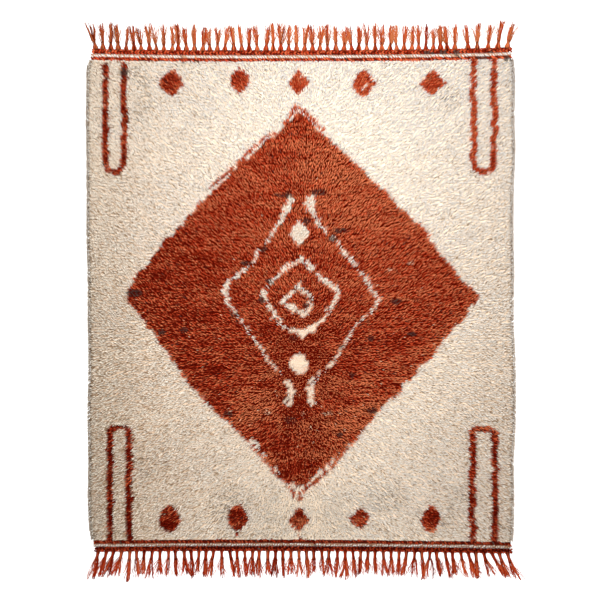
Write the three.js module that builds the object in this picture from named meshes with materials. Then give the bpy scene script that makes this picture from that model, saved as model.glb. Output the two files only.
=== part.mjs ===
// A hand-knotted wool rug, lying flat with its pile up and one short end towards +Y.
// The woven body carries the cut pile and a smooth band at each short end. Beyond it come the
// twined heading cord and a row of knotted tassels. Sizes are in millimetres.
import * as THREE from 'three';

// Heights above the floor
const pileHeight = 22;
const bandHeight = 9;
const headingHeight = 10;
const unevenness = 0.8;
const rippleAcross = 90;
const rippleAlong = 130;

// Widths seen from above
const headingWidth = 13;
const pieceGap = 0.35;
const loopRowWidth = 4;

// How finely the body and the cords are divided
const bodyColumns = 24;
const bodyRows = 36;
const headingColumns = 28;
const headingRows = 4;

// The long edges from the upper end to the lower one: how far out the pile reaches on either side.
const longEdges = [
  { y: 852, left: -738, right: 743 },
  { y: 838, left: -742, right: 743 },
  { y: 824, left: -751, right: 745 },
  { y: 771, left: -752, right: 752 },
  { y: 613, left: -755, right: 748 },
  { y: 508, left: -752, right: 752 },
  { y: 350, left: -752, right: 745 },
  { y: 191, left: -752, right: 745 },
  { y: 86, left: -748, right: 748 },
  { y: -72, left: -748, right: 745 },
  { y: -230, left: -745, right: 752 },
  { y: -283, left: -745, right: 755 },
  { y: -335, left: -748, right: 752 },
  { y: -441, left: -748, right: 752 },
  { y: -546, left: -745, right: 745 },
  { y: -704, left: -748, right: 748 },
  { y: -810, left: -741, right: 745 },
  { y: -845, left: -734, right: 742 },
  { y: -862, left: -727, right: 742 },
];

// The middle line of each heading cord. It bows, because the warps were never quite even: middle is
// its y at x = 0, tilt what it gains to the right, bow what it gains at both ends, and sharpness how
// far the bow is left to the corners.
const upperEnd = { side: 1, left: -734, right: 739, middle: 866.5, tilt: 2.5, bow: 8, sharpness: 3 };
const lowerEnd = { side: -1, left: -724, right: 741, middle: -874, tilt: -3, bow: -6, sharpness: 2 };
const bowReach = 740;

// How the body rises from its edges: the pile rounds over at the sides, and the flat woven band
// comes first at the ends.
const sideProfile = [
  { inset: 0, height: 8 },
  { inset: 4, height: 15 },
  { inset: 12, height: 20 },
  { inset: 30, height: pileHeight },
];
const endProfile = [
  { inset: 0, height: 6 },
  { inset: 3, height: bandHeight },
  { inset: 20, height: bandHeight },
  { inset: 24, height: 15 },
  { inset: 36, height: 21 },
  { inset: 60, height: pileHeight },
];
const cordProfile = [
  { inset: 0, height: 5 },
  { inset: 2.5, height: 8.5 },
  { inset: headingWidth / 2, height: headingHeight },
];

// A tassel from the loop row outwards: the knot's belly, the neck, the loose strands and their tip.
// out is a share of the tassel's length, half its half width there.
const upperTassel = [
  { out: 0.0, half: 7.0 },
  { out: 0.12, half: 8.0 },
  { out: 0.26, half: 3.5 },
  { out: 0.7, half: 6.0 },
  { out: 1.0, half: 2.5 },
];
const lowerTassel = [
  { out: 0.0, half: 6.5 },
  { out: 0.12, half: 6.0 },
  { out: 0.4, half: 5.0 },
  { out: 0.75, half: 5.5 },
  { out: 1.0, half: 3.0 },
];
// How thick a tassel lies, by its distance from the loop row
const tasselThickness = [
  { distance: 0, height: 9 },
  { distance: 11, height: 11 },
  { distance: 23, height: 8 },
  { distance: 60, height: 6 },
  { distance: 100, height: 3 },
];

// The tassels along each end: each run goes from its first tassel to its last one.
const upperRuns = [
  { from: -722, to: -267, count: 18 },
  { from: -236, to: 260, count: 19 },
  { from: 286, to: 542, count: 11 },
  { from: 589, to: 723, count: 5 },
];
const lowerRuns = [{ from: -712, to: 723, count: 54 }];
const upperFringe = { runs: upperRuns, tassel: upperTassel, length: 92, leanLeft: -44, leanRight: 36 };
const lowerFringe = { runs: lowerRuns, tassel: lowerTassel, length: 88, leanLeft: -35, leanRight: 43 };
const tasselStray = 2.5;
const leanRhythm = 0.7;
const lengthStray = 6;
const lengthRhythm = 0.31;
// Only the tassels near a corner lean outwards, and each curves more towards its tip.
const cornerSharpness = 9;
const leanCurve = 1.5;

// The waves whose mean makes everything hand-made waver a little
const waverWaves = [
  { pace: 1.7, start: 0 },
  { pace: 2.9, start: 1 },
  { pace: 4.3, start: 2 },
];

const terracotta = new THREE.Color(0.5, 0.13, 0.06);
const cream = new THREE.Color(0.82, 0.74, 0.63);

// Reads a column of a table between two of its rows, easing in and out so that no corner shows.
function readTable(rows, key, at, column) {
  const rising = rows[rows.length - 1][key] > rows[0][key];
  const ordered = rising ? rows : [...rows].reverse();
  if (at <= ordered[0][key]) return ordered[0][column];
  for (let n = 1; n < ordered.length; n += 1) {
    const low = ordered[n - 1];
    const high = ordered[n];
    if (at <= high[key]) {
      const share = THREE.MathUtils.smoothstep(at, low[key], high[key]);
      return THREE.MathUtils.lerp(low[column], high[column], share);
    }
  }
  return ordered[ordered.length - 1][column];
}

// A steady waver between -1 and 1 that looks hand-made and is the same each time.
function waver(place) {
  const sum = waverWaves.reduce((total, { pace, start }) => total + Math.sin(place * pace + start), 0);
  return sum / waverWaves.length;
}

// Where a grid line lies between two edges: the first and last lines follow the profile's insets,
// and those between are spaced evenly.
function gridLine(index, lastIndex, profile, low, high) {
  const rim = profile.length - 1;
  const fromEnd = lastIndex - index;
  if (index <= rim) return { at: low + profile[index].inset, height: profile[index].height };
  if (fromEnd <= rim) return { at: high - profile[fromEnd].inset, height: profile[fromEnd].height };
  const share = (index - rim) / (lastIndex - 2 * rim);
  const first = low + profile[rim].inset;
  const last = high - profile[rim].inset;
  return { at: THREE.MathUtils.lerp(first, last, share), height: profile[rim].height };
}

// A cloth with a flat underside, laid out on a grid: place gives each crossing its x, y and height.
function laidGrid(columns, rows, place) {
  const geometry = new THREE.BoxGeometry(1, 1, 1, columns, rows, 1);
  const position = geometry.attributes.position;
  for (let n = 0; n < position.count; n += 1) {
    const column = Math.round((position.getX(n) + 0.5) * columns);
    const row = Math.round((position.getY(n) + 0.5) * rows);
    const isTop = position.getZ(n) > 0;
    const { x, y, height } = place(column, row);
    position.setXYZ(n, x, y, isTop ? height : 0);
  }
  return geometry;
}

function headingLine(end, x) {
  const share = x / bowReach;
  return end.middle + end.tilt * share + end.bow * Math.abs(share) ** end.sharpness;
}

// The woven body, between the two heading cords.
function rugBody() {
  const toCord = headingWidth / 2 + pieceGap;
  return laidGrid(bodyColumns, bodyRows, (column, row) => {
    const lowest = lowerEnd.middle + toCord;
    const highest = upperEnd.middle - toCord;
    const nominal = gridLine(row, bodyRows, endProfile, lowest, highest).at;
    const left = readTable(longEdges, 'y', nominal, 'left');
    const right = readTable(longEdges, 'y', nominal, 'right');
    const across = gridLine(column, bodyColumns, sideProfile, left, right);
    const low = headingLine(lowerEnd, across.at) + toCord;
    const high = headingLine(upperEnd, across.at) - toCord;
    const along = gridLine(row, bodyRows, endProfile, low, high);
    const height = Math.min(across.height, along.height);
    const isPileTop = height === pileHeight;
    const ripple = waver(across.at / rippleAcross) * waver(along.at / rippleAlong);
    const dip = isPileTop ? unevenness * Math.abs(ripple) : 0;
    return { x: across.at, y: along.at, height: height - dip };
  });
}

// A heading cord: a low rounded bar along the end of the body.
function headingCord(end) {
  return laidGrid(headingColumns, headingRows, (column, row) => {
    const x = THREE.MathUtils.lerp(end.left, end.right, column / headingColumns);
    const middle = headingLine(end, x);
    const low = middle - headingWidth / 2;
    const high = middle + headingWidth / 2;
    const across = gridLine(row, headingRows, cordProfile, low, high);
    return { x, y: across.at, height: across.height };
  });
}

// Every tassel of a fringe from left to right: its foot, how far it leans sideways and its length.
function tasselsOf(fringe) {
  const tassels = [];
  const lastFoot = fringe.runs[fringe.runs.length - 1].to;
  for (const run of fringe.runs) {
    for (let n = 0; n < run.count; n += 1) {
      const even = THREE.MathUtils.lerp(run.from, run.to, n / (run.count - 1));
      const isEdge = n === 0 || n === run.count - 1;
      const foot = even + (isEdge ? 0 : tasselStray * waver(even));
      const cornerLean = Math.abs(foot / lastFoot) ** cornerSharpness;
      const outward = cornerLean * (foot < 0 ? fringe.leanLeft : fringe.leanRight);
      const lean = outward + tasselStray * waver(even * leanRhythm);
      const length = fringe.length + lengthStray * waver(even * lengthRhythm);
      tassels.push({ foot, lean, length });
    }
  }
  return tassels;
}

// A fringe as one comb: the row of loops along the heading cord is its back, the tassels its teeth.
// Its outline is extruded as a thin slab, whose top is then raised to the tassels' thickness.
function fringeComb(fringe, end) {
  const nearCord = headingWidth / 2 + pieceGap;
  const toothRoot = nearCord + loopRowWidth;
  const at = (x, out, footX = x) => new THREE.Vector2(x, headingLine(end, footX) + end.side * out);
  const points = [at(end.left, toothRoot)];
  for (const { foot, lean, length } of tasselsOf(fringe)) {
    for (const side of [-1, 1]) {
      const upOrDown = side < 0 ? fringe.tassel : [...fringe.tassel].reverse();
      for (const { out, half } of upOrDown) {
        const x = foot + side * half + lean * out ** leanCurve;
        points.push(at(x, toothRoot + out * length, foot));
      }
    }
  }
  points.push(at(end.right, toothRoot));
  for (let column = headingColumns; column >= 0; column -= 1) {
    points.push(at(THREE.MathUtils.lerp(end.left, end.right, column / headingColumns), nearCord));
  }
  const slab = { depth: 1, bevelEnabled: false };
  const geometry = new THREE.ExtrudeGeometry(new THREE.Shape(points), slab);
  const position = geometry.attributes.position;
  for (let n = 0; n < position.count; n += 1) {
    const isTop = position.getZ(n) > slab.depth / 2;
    const out = Math.abs(position.getY(n) - headingLine(end, position.getX(n))) - toothRoot;
    const height = readTable(tasselThickness, 'distance', Math.max(out, 0), 'height');
    position.setZ(n, isTop ? height : 0);
  }
  return geometry;
}

function addPiece(group, name, geometry, color) {
  const material = new THREE.MeshStandardMaterial({ color, roughness: 0.95, metalness: 0 });
  const mesh = new THREE.Mesh(geometry, material);
  mesh.name = name;
  group.add(mesh);
}

const group = new THREE.Group();
addPiece(group, 'rug_body', rugBody(), cream);
addPiece(group, 'heading_cord_upper', headingCord(upperEnd), terracotta);
addPiece(group, 'heading_cord_lower', headingCord(lowerEnd), terracotta);
addPiece(group, 'tassel_fringe_upper', fringeComb(upperFringe, upperEnd), terracotta);
addPiece(group, 'tassel_fringe_lower', fringeComb(lowerFringe, lowerEnd), terracotta);

export default group;
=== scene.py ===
import math

import bpy
import numpy as np
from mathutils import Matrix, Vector
from mathutils.bvhtree import BVHTree


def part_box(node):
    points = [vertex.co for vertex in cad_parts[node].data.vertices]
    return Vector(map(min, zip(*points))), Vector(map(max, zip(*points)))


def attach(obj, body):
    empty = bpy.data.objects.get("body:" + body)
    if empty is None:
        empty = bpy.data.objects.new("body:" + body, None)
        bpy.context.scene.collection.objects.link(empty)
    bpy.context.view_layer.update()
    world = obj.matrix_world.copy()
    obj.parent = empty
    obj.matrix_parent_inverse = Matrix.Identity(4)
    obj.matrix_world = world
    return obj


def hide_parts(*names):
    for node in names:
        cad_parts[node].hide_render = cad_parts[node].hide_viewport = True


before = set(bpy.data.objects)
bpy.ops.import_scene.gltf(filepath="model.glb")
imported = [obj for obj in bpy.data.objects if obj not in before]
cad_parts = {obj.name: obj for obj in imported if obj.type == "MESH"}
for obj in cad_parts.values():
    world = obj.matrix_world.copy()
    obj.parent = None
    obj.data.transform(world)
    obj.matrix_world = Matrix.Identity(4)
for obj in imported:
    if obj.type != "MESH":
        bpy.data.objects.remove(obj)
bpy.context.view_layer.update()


# Woven ground
# The rug's foundation is a flat weave of undyed wool, which every knot of the pile is tied into. It
# lies flat on the floor from one heading cord to the other. Its long sides are plain selvedges.

mm = 0.001
ground_height = 4.5 * mm
ground_wave = 0.4 * mm
selvedge_inset = 5 * mm
ground_columns = 140
ground_rows = 150
stripe_row_pitch = 3 * mm
stripe_rows = 10
ground_patch = (0.12, 0.15)
probe_height = 2 * mm
mottle_cells = 128


def meet(node_name, start, direction):
    """The point where a level line across the floor first meets a CAD node, or None."""
    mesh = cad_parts[node_name].data
    corners = [vertex.co for vertex in mesh.vertices]
    tree = BVHTree.FromPolygons(corners, [face.vertices for face in mesh.polygons])
    return tree.ray_cast(Vector((*start, probe_height)), Vector((*direction, 0)))[0]


def edge_line(node_name, stations, axis, side):
    """How far a CAD node reaches on one side, at each station along the other axis."""
    across = Vector((1, 0)) if axis == 0 else Vector((0, 1))
    along = Vector((0, 1)) if axis == 0 else Vector((1, 0))
    reach = []
    for station in stations:
        start = across * (2 * side) + along * station
        reach.append(meet(node_name, start, across * -side)[axis])
    return np.array(reach)


side_stations = np.arange(-0.84, 0.85, 0.04)
end_stations = np.arange(-0.72, 0.73, 0.06)
body_left = edge_line("rug_body", side_stations, axis=0, side=-1)
body_right = edge_line("rug_body", side_stations, axis=0, side=1)
body_low = edge_line("rug_body", end_stations, axis=1, side=-1)
body_high = edge_line("rug_body", end_stations, axis=1, side=1)


def side_x(y, reach, inset=0.0):
    """A long side's x at y, moved in by an inset."""
    return np.interp(y, side_stations, reach) - np.sign(reach[0]) * inset


def end_y(x, reach, inset=0.0):
    """A short end's y at x, moved in by an inset."""
    return np.interp(x, end_stations, reach) - np.sign(reach[0]) * inset


# The two stripes of each short end, from its edge inwards: the cream one and the terracotta one
upper_end = dict(edge=body_high, cream=11.5 * mm, red=11.5 * mm)
lower_end = dict(edge=body_low, cream=9.5 * mm, red=13 * mm)


def seam_y(x, end):
    """Where the two stripes of one end meet."""
    return end_y(x, end["edge"], end["cream"])


def pile_end_y(x, end):
    """Where the pile stops beside the terracotta stripe of one end."""
    return end_y(x, end["edge"], end["cream"] + end["red"])


def ramp(value, start, end):
    """0 at the start and before it, 1 at the end and past it, and even between them."""
    return np.clip((value - start) / (end - start), 0, 1)


def ease(share):
    return share * share * (3 - 2 * share)


def mottle(x, y, size_x, size_y, seed):
    """Smooth random values between -1 and 1 in patches of about size_x by size_y."""
    lattice = np.random.default_rng(seed).uniform(-1, 1, (mottle_cells, mottle_cells))
    column = np.floor(x / size_x).astype(int)
    row = np.floor(y / size_y).astype(int)
    across = ease(x / size_x - column)
    along = ease(y / size_y - row)

    def corner(right, up):
        return lattice[(row + up) % mottle_cells, (column + right) % mottle_cells]

    low = corner(0, 0) * (1 - across) + corner(1, 0) * across
    high = corner(0, 1) * (1 - across) + corner(1, 1) * across
    return low * (1 - along) + high * along


def add_mesh(name, points, faces, colors, uvs=None):
    """A mesh from arrays: faces holds one array of indices for the triangles and one for the quads."""
    mesh = bpy.data.meshes.new(name)
    sizes = np.concatenate([np.full(len(block), block.shape[1]) for block in faces])
    corners = np.concatenate([block.ravel() for block in faces])
    mesh.vertices.add(len(points))
    mesh.vertices.foreach_set("co", points.astype(np.float32).ravel())
    mesh.loops.add(len(corners))
    mesh.loops.foreach_set("vertex_index", corners.astype(np.int32))
    mesh.polygons.add(len(sizes))
    starts = np.concatenate([[0], np.cumsum(sizes)[:-1]])
    mesh.polygons.foreach_set("loop_start", starts.astype(np.int32))
    mesh.polygons.foreach_set("use_smooth", np.ones(len(sizes), dtype=bool))
    opaque = np.column_stack([colors, np.ones(len(points))])
    layer = mesh.color_attributes.new("wool_color", "FLOAT_COLOR", "POINT")
    layer.data.foreach_set("color", opaque.astype(np.float32).ravel())
    if uvs is not None:
        layer = mesh.uv_layers.new(name="OFBake")
        layer.uv.foreach_set("vector", uvs.astype(np.float32).ravel())
    mesh.update()
    mesh.validate()
    piece = bpy.data.objects.new(name, mesh)
    bpy.context.scene.collection.objects.link(piece)
    return piece


def table(columns, rows):
    """The rows of a table, each as a dict with the columns' names as its keys."""
    return [dict(zip(columns.split(), row)) for row in rows]


# The pattern, in millimetres from the rug's centre. x runs to the right and y towards the upper end.
lozenge = [
    (-11, 657), (165, 506), (425, 255), (509, 135), (631, 9), (478, -181), (169, -509), (-6, -668),
    (-52, -640), (-100, -582), (-155, -510), (-205, -474), (-300, -398), (-393, -297),
    (-622, 23), (-501, 182), (-246, 448),
]
# Thin outlines that stand a little off the lozenge, where its edge was knotted once more
edge_echoes = [
    [(-53, 620), (-18, 682), (0, 668), (78, 596)],
    [(-320, 396), (-246, 459), (-120, 577), (-95, 588)],
    [(-200, -482), (-153, -534), (-88, -610), (-50, -642), (-14, -705), (0, -695)],
    [(-6, -682), (60, -632), (160, -530), (200, -480)],
]
# Each small figure reaches so far left, right, up and down from its middle. Roundness 1 is a
# straight-sided diamond, and a larger one bulges.
small_diamonds = table("x y left right up down roundness", [
    (-450, 757, 52, 36, 51, 42, 1.2),
    (-213, 769, 37, 28, 42, 43, 1.3),
    (-8, 761, 34, 34, 46, 40, 1.05),
    (221, 755, 37, 37, 49, 42, 1.5),
    (462, 759, 43, 48, 46, 44, 1.0),
    (-462, -776, 37, 36, 49, 40, 1.5),
    (-223, -771, 32, 32, 51, 37, 1.7),
    (-8, -776, 33, 34, 42, 42, 1.05),
    (209, -771, 31, 31, 33, 34, 1.4),
    (455, -775, 32, 34, 46, 46, 1.5),
])
stem_half = 4
thin_stems = [
    [(-224, -806), (-224, -832)],
    [(-8, -818), (-6, -845)],
]
# The hairpins near the corners: two long lines from the open end to a bend. side_half is half the
# width of the lines and bend_half that of the bend.
hairpins = table("left right open_end bend corner side_half bend_half", [
    (-687, -622, 828, 446, 28, 11, 10),
    (607, 679, 844, 446, 30, 11, 10),
    (-671, -604, -848, -452, 12, 12, 9),
    (603, 681, -848, -456, 12, 12, 9),
])
bend_slope = 0.3
echo_half = 6
echo_share = 0.9
# The cream lines in the terracotta: half the width of each, and the share of its knots that are cream
cream_lines = table("half share points", [
    (6, 1.0, [(-36, 360), (-34, 345)]),
    (13, 0.95, [(-38, 343), (-46, 322)]),
    (8, 0.85, [(-52, 312), (-78, 262)]),
    (6, 0.8, [(-78, 262), (-118, 204)]),
    (4, 0.2, [(-118, 204), (-148, 165)]),
    (5, 0.8, [(-150, 165), (-187, 112), (-250, 62)]),
    (8, 0.85, [(-252, 60), (-272, 25), (-260, -10)]),
    (5, 0.7, [(-260, -10), (-186, -107), (-131, -188), (-67, -269)]),
    (11, 0.9, [(-45, -285), (-35, -321), (-43, -360)]),
    (6, 1.0, [(42, 362), (36, 352)]),
    (14, 0.95, [(36, 345), (37, 322)]),
    (8, 0.85, [(42, 312), (62, 272)]),
    (4, 0.75, [(62, 272), (92, 234), (132, 199)]),
    (6, 0.75, [(132, 199), (186, 124), (228, 70), (272, 0), (256, -32)]),
    (5, 0.65, [(256, -32), (207, -75), (158, -145), (121, -215), (50, -275)]),
    (11, 0.9, [(46, -285), (30, -321), (38, -364)]),
    (8, 0.85, [(-3, 140), (40, 108)]),
    (8, 0.85, [(62, 86), (98, 60), (126, 30)]),
    (6, 0.8, [(126, 30), (116, -20), (64, -86), (0, -122)]),
    (6, 0.8, [(-3, 140), (-63, 102), (-109, 51), (-139, 17)]),
    (6, 0.8, [(-139, 17), (-98, -44), (-75, -85), (0, -122)]),
    (9, 0.85, [(3, -122), (45, -102)]),
    (8, 0.85, [(-8, 50), (-62, -5), (5, -52)]),
    (7, 0.8, [(5, -52), (34, -30), (42, 2), (-8, 50)]),
    (9, 0.9, [(-60, -4), (-48, -14)]),
    (9, 0.9, [(-4, -50), (8, -52)]),
    (4, 0.8, [(216, 734), (235, 755)]),
])
cream_diamonds = table("x y left right up down roundness", [
    (-5, 232, 36, 34, 47, 43, 1.1),
    (-8, -226, 37, 37, 40, 38, 1.15),
])
# Where darker natural wool was spun in: the middle, half width and half height of each patch, which
# fades out towards a rim this many times as far out
patch_rim = 1.6
dark_patches = table("x y wide tall", [
    (-61, 367, 26, 5), (60, 376, 20, 8), (21, 276, 10, 8), (137, 242, 20, 7), (112, 215, 12, 7),
    (-131, 177, 8, 8), (-193, 128, 14, 7), (-110, 65, 10, 7), (-137, -2, 10, 8),
    (-234, -53, 10, 6), (-27, -134, 12, 7), (143, -163, 9, 6), (-51, -350, 9, 8),
    (19, -20, 10, 6), (-587, 22, 22, 10), (-488, -114, 10, 7), (-411, -107, 10, 7),
    (-256, -402, 12, 9), (-37, -423, 16, 10), (335, -7, 14, 8), (246, -137, 9, 7),
    (390, -121, 12, 7), (249, -390, 14, 7), (183, -267, 10, 7), (136, -475, 9, 6),
    (-622, 800, 10, 12), (446, 868, 12, 8), (497, 871, 9, 7), (548, 868, 11, 8),
    (632, 850, 14, 6), (725, 846, 12, 8), (-415, 835, 5, 4), (-367, 835, 8, 4),
])
# Where cream knots stray into the terracotta, and where grey wool was spun into the cream
pale_patches = table("x y wide tall", [
    (-116, -395, 9, 9), (386, 128, 9, 5), (313, 107, 9, 5), (-250, -388, 6, 6), (8, -403, 5, 7),
    (36, -450, 6, 5), (58, -458, 7, 4), (154, -458, 4, 4), (92, -400, 16, 4), (43, -500, 4, 4),
    (23, -608, 5, 4),
])
grey_patches = table("x y wide tall", [
    (-588, 794, 40, 16), (-559, 764, 30, 16), (-541, 697, 26, 30), (-566, 646, 24, 20),
    (582, -692, 45, 30), (536, -730, 24, 14), (506, -778, 30, 24), (410, -752, 14, 16),
    (705, -797, 36, 16), (-250, -720, 60, 50), (300, -700, 60, 40), (520, 700, 38, 32),
    (403, 749, 12, 5), (-545, -580, 32, 55), (-530, -694, 40, 5), (-480, -560, 20, 30),
])
# Where a brighter or a darker batch of terracotta yarn was used, and how its tone differs
dye_patches = table("x y wide tall tone", [
    (170, 400, 190, 150, 0.45), (-300, -190, 130, 120, -0.45), (360, -120, 90, 70, -0.4),
    (-60, 480, 60, 50, -0.3), (-10, 390, 90, 35, -0.35), (-430, 60, 150, 120, -0.2),
    (40, -90, 60, 130, 0.15), (90, 0, 50, 25, -0.5), (-10, -400, 30, 60, -0.7),
    (-120, -480, 70, 50, -0.3), (0, 770, 900, 60, -0.25), (0, -775, 900, 60, -0.45),
    (-640, -700, 150, 300, -0.7), (640, -700, 150, 300, -0.5), (40, -420, 260, 170, 0.4),
])
# An outline moves in steps, row by row: their height, how far they stray and when they repeat
step_height = 7
step_stray = 2
step_rows = 512
# How far the outlines stray where the knots could not follow them, and over what distance
edge_wander = 7
line_wander = 3.5
wander_size = 30
knot_stray = 1.5
# How uneven the cream lines are in thickness, and in patches of what size
line_unevenness = 0.5
line_patch = (20, 12)
# How far the terracotta tufts of a small figure hang over the cream ones beside it
knot_overlap = 3


def line_distance(x, y, points):
    """The distance from each place to a line through the points."""
    nearest = np.full(x.shape, np.inf)
    for (x0, y0), (x1, y1) in zip(points, points[1:]):
        run_x, run_y = x1 - x0, y1 - y0
        share = ((x - x0) * run_x + (y - y0) * run_y) / (run_x ** 2 + run_y ** 2)
        share = np.clip(share, 0, 1)
        nearest = np.minimum(nearest, np.hypot(x - x0 - share * run_x, y - y0 - share * run_y))
    return nearest


def outline_depth(x, y, corners):
    """How deep inside a closed outline each place lies, negative outside."""
    inside = np.zeros(x.shape, dtype=bool)
    closed = corners + corners[:1]
    for (x0, y0), (x1, y1) in zip(closed, closed[1:]):
        crosses = (y0 > y) != (y1 > y)
        inside ^= crosses & (x < x0 + (y - y0) / (y1 - y0 + 1e-9) * (x1 - x0))
    return np.where(inside, 1, -1) * line_distance(x, y, closed)


def diamond_depth(x, y, shape):
    """How deep inside one small diamond each place lies, negative outside."""
    across = x - shape["x"]
    along = y - shape["y"]
    wide = np.where(across < 0, shape["left"], shape["right"])
    tall = np.where(along < 0, shape["down"], shape["up"])
    roundness = shape["roundness"]
    spread = (np.abs(across / wide) ** roundness + np.abs(along / tall) ** roundness) ** (1 / roundness)
    return (1 - spread) * np.minimum(wide, tall)


def hairpin_distance(x, y, pin):
    """The distance from each place to a hairpin's two sides, and to the bend that joins them."""
    turn = math.copysign(pin["corner"], pin["open_end"])
    near_bend = pin["bend"] + turn
    slope = bend_slope * turn
    left_turn = [
        (pin["left"], near_bend), (pin["left"] + abs(slope), near_bend - 2 * slope),
        (pin["left"] + pin["corner"], pin["bend"]),
    ]
    right_turn = [(pin["left"] + pin["right"] - turn_x, turn_y) for turn_x, turn_y in left_turn[::-1]]
    sides = [[(side, pin["open_end"]), (side, near_bend)] for side in (pin["left"], pin["right"])]
    to_sides = np.minimum(line_distance(x, y, sides[0]), line_distance(x, y, sides[1]))
    return to_sides, line_distance(x, y, left_turn + right_turn)


def patch_share(x, y, patches):
    """1 in the middle of a patch, falling to 0 at its rim and beyond."""
    share = np.zeros(x.shape)
    for patch in patches:
        spread = np.hypot((x - patch["x"]) / patch["wide"], (y - patch["y"]) / patch["tall"])
        share = np.maximum(share, ramp(spread, patch_rim, patch_rim - 1))
    return share


def row_shift(row, seed):
    """How far sideways each row of knots is out of line."""
    steps = np.random.default_rng(seed).standard_normal(step_rows)
    return step_stray * steps[row % step_rows]


def terracotta_at(x, y, draw):
    """True where the knots are terracotta, for places in millimetres."""
    edge_shift = edge_wander * mottle(x, y, wander_size, wander_size, 11)
    edge_shift = edge_shift + knot_stray * draw.standard_normal(x.shape)
    stray_x = line_wander * mottle(x, y, 2 * wander_size, wander_size, 12)
    stray_y = line_wander * mottle(x, y, wander_size, 2 * wander_size, 13)
    x = x + stray_x + knot_stray * draw.standard_normal(x.shape)
    y = y + stray_y + knot_stray * draw.standard_normal(y.shape)
    row = np.round(y / step_height).astype(int)
    x = x + row_shift(row, 14)
    y = row * step_height
    red = outline_depth(x, y, lozenge) + edge_shift > 0
    for points in edge_echoes:
        red |= (line_distance(x, y, points) < echo_half) & (draw.random(x.shape) < echo_share)
    for shape in small_diamonds:
        red |= diamond_depth(x, y, shape) > -knot_overlap
    for points in thin_stems:
        red |= line_distance(x, y, points) < stem_half
    for pin in hairpins:
        to_sides, to_bend = hairpin_distance(x, y, pin)
        red |= (to_sides < pin["side_half"]) | (to_bend < pin["bend_half"])
    x = x + row_shift(row, 15)
    thickness = 1 + line_unevenness * mottle(x, y, *line_patch, 16)
    for line in cream_lines:
        off_line = line_distance(x, y, line["points"]) > line["half"] * thickness
        red &= off_line | (draw.random(x.shape) > line["share"])
    for shape in cream_diamonds:
        red &= diamond_depth(x, y, shape) < 0
    return red


cream_wool = np.array((0.71, 0.69, 0.67))
aged_wool = np.array((0.96, 0.86, 0.72))
tan_wool = np.array((0.46, 0.31, 0.19))
grey_wool = np.array((0.14, 0.11, 0.08))
dark_wool = np.array((0.055, 0.045, 0.038))
terracotta_wool = np.array((0.60, 0.064, 0.021))
bright_terracotta = np.array((0.80, 0.228, 0.094))
deep_terracotta = np.array((0.18, 0.009, 0.003))
# A lone cream knot among terracotta ones takes on some of their colour
stray_wool = np.array((0.85, 0.62, 0.42))
# Painted shade in the gaps between cream tufts: pale where they stand close, lighter than the tips to
# offset the shade, and dark where the gaps are painted darkest
pale_root = np.array((1.0, 0.86, 0.68))
dark_root_shade = np.array((0.28, 0.14, 0.065))
# Painted shade between terracotta tufts: where they stand close it keeps a share of their colour, and
# terracotta_root is the darkest
close_root_light = 0.5
terracotta_root = np.array((0.07, 0.003, 0.0008))
# The cloth below the two stripes, painted with the shade of their gaps, and how much light the painted
# shade leaves it at the lower end
stripe_root = np.array((0.08, 0.008, 0.003))
cream_stripe_root = np.array((0.42, 0.21, 0.13))
lower_root_light = 0.5
# How aged the wool is in the rug's middle, and what it gains rightwards, upwards and by either side
middle_age = 0.28
age_rightwards = -0.20
age_upwards = -0.33
left_age = 1.26
right_age = 0.54
age_mottle = 0.10
age_patch = (0.16, 0.10)
# How strong the painted shade in the gaps between the tufts is: everywhere, and what the lower end and
# each side add.
# The left side adds less towards both ends and the right one towards the upper end.
least_gap = 0.04
lower_gap = 0.27
left_gap = 0.42
right_gap = 0.5
left_gap_fade = 0.17
right_gap_fade = 0.5
# The long sides turn downwards, so their rim gets painted shade: darker and tan
rim_width = 12 * mm
rim_shade_tan = 0.4
left_rim_shade = 0.5
right_rim_shade = 0.3
# How much painted shade along the left side and at the middle of the lower end darkens the wool
left_painted_shade = 0.19
low_painted_shade = 0.12
# Where the gaps are painted darkest, this share of the cream knots is tinted tan as painted shade, and
# this is how much tan they hold
tan_knots = 0.2
tan_range = (0.25, 0.7)
# How much the brightness of the cream knots differs there
cream_unevenness = 0.15
# The cream figures inside the lozenge are of whiter wool with some tan, and the painted shade in their
# gaps is darker
figure_wool = np.array((0.90, 0.86, 0.78))
figure_gap = 0.5
figure_tan = 0.10
# How many knots of a grey patch are grey, and how grey
grey_knots = 0.3
greyness = 0.8
# The tone of the terracotta knots, and how it differs from knot to knot: more on the left, and less in
# the calm upper part
mean_tone = 0.38
tone_spread = 0.60
left_tone_spread = 0.25
calm_tone_spread = 0.15
# The streaks of the yarn's batches, and how much stronger they are at the lower end
streaks = table("amount wide tall seed", [(0.30, 160, 30, 21), (0.32, 60, 12, 22)])
lower_streaks = 1.6
# Painted shade: how much darker the terracotta is on the left side of the lozenge, and along the rug's
# long sides
left_tone = 0.45
edge_tone = 0.3
# The share of knots spun with dark wool in a dark patch, which fades out late, and in the rest of the
# terracotta, and how dark they are
dark_patch_knots = 0.9
dark_patch_strength = 2.5
dark_knots = 0.015
darkness = 0.9
# The share of cream knots in a pale patch and in the rest of the terracotta, most in its lower part
pale_patch_knots = 0.7
stray_knots = 0.0005
lower_stray_knots = 0.004
lower_strays_below = -60


def blend(first, second, share):
    """Mixes two colours, each one colour or one for every place."""
    share = np.asarray(share)[:, None]
    return first * (1 - share) + second * share


def rim_share(x, y):
    """1 on the rug's long sides, falling to 0 a little way in."""
    inward = np.minimum(x - side_x(y, body_left), side_x(y, body_right) - x)
    return ramp(inward, rim_width, 0)


def age_at(x, y):
    """How aged the wool is, from 0 to 1: most along the sides, the left one above all."""
    age = middle_age + age_rightwards * x + age_upwards * y
    age = age + np.where(x < 0, left_age, right_age) * np.abs(x) ** 3
    return np.clip(age + age_mottle * mottle(x, y, *age_patch, 61), 0, 1)


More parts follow.
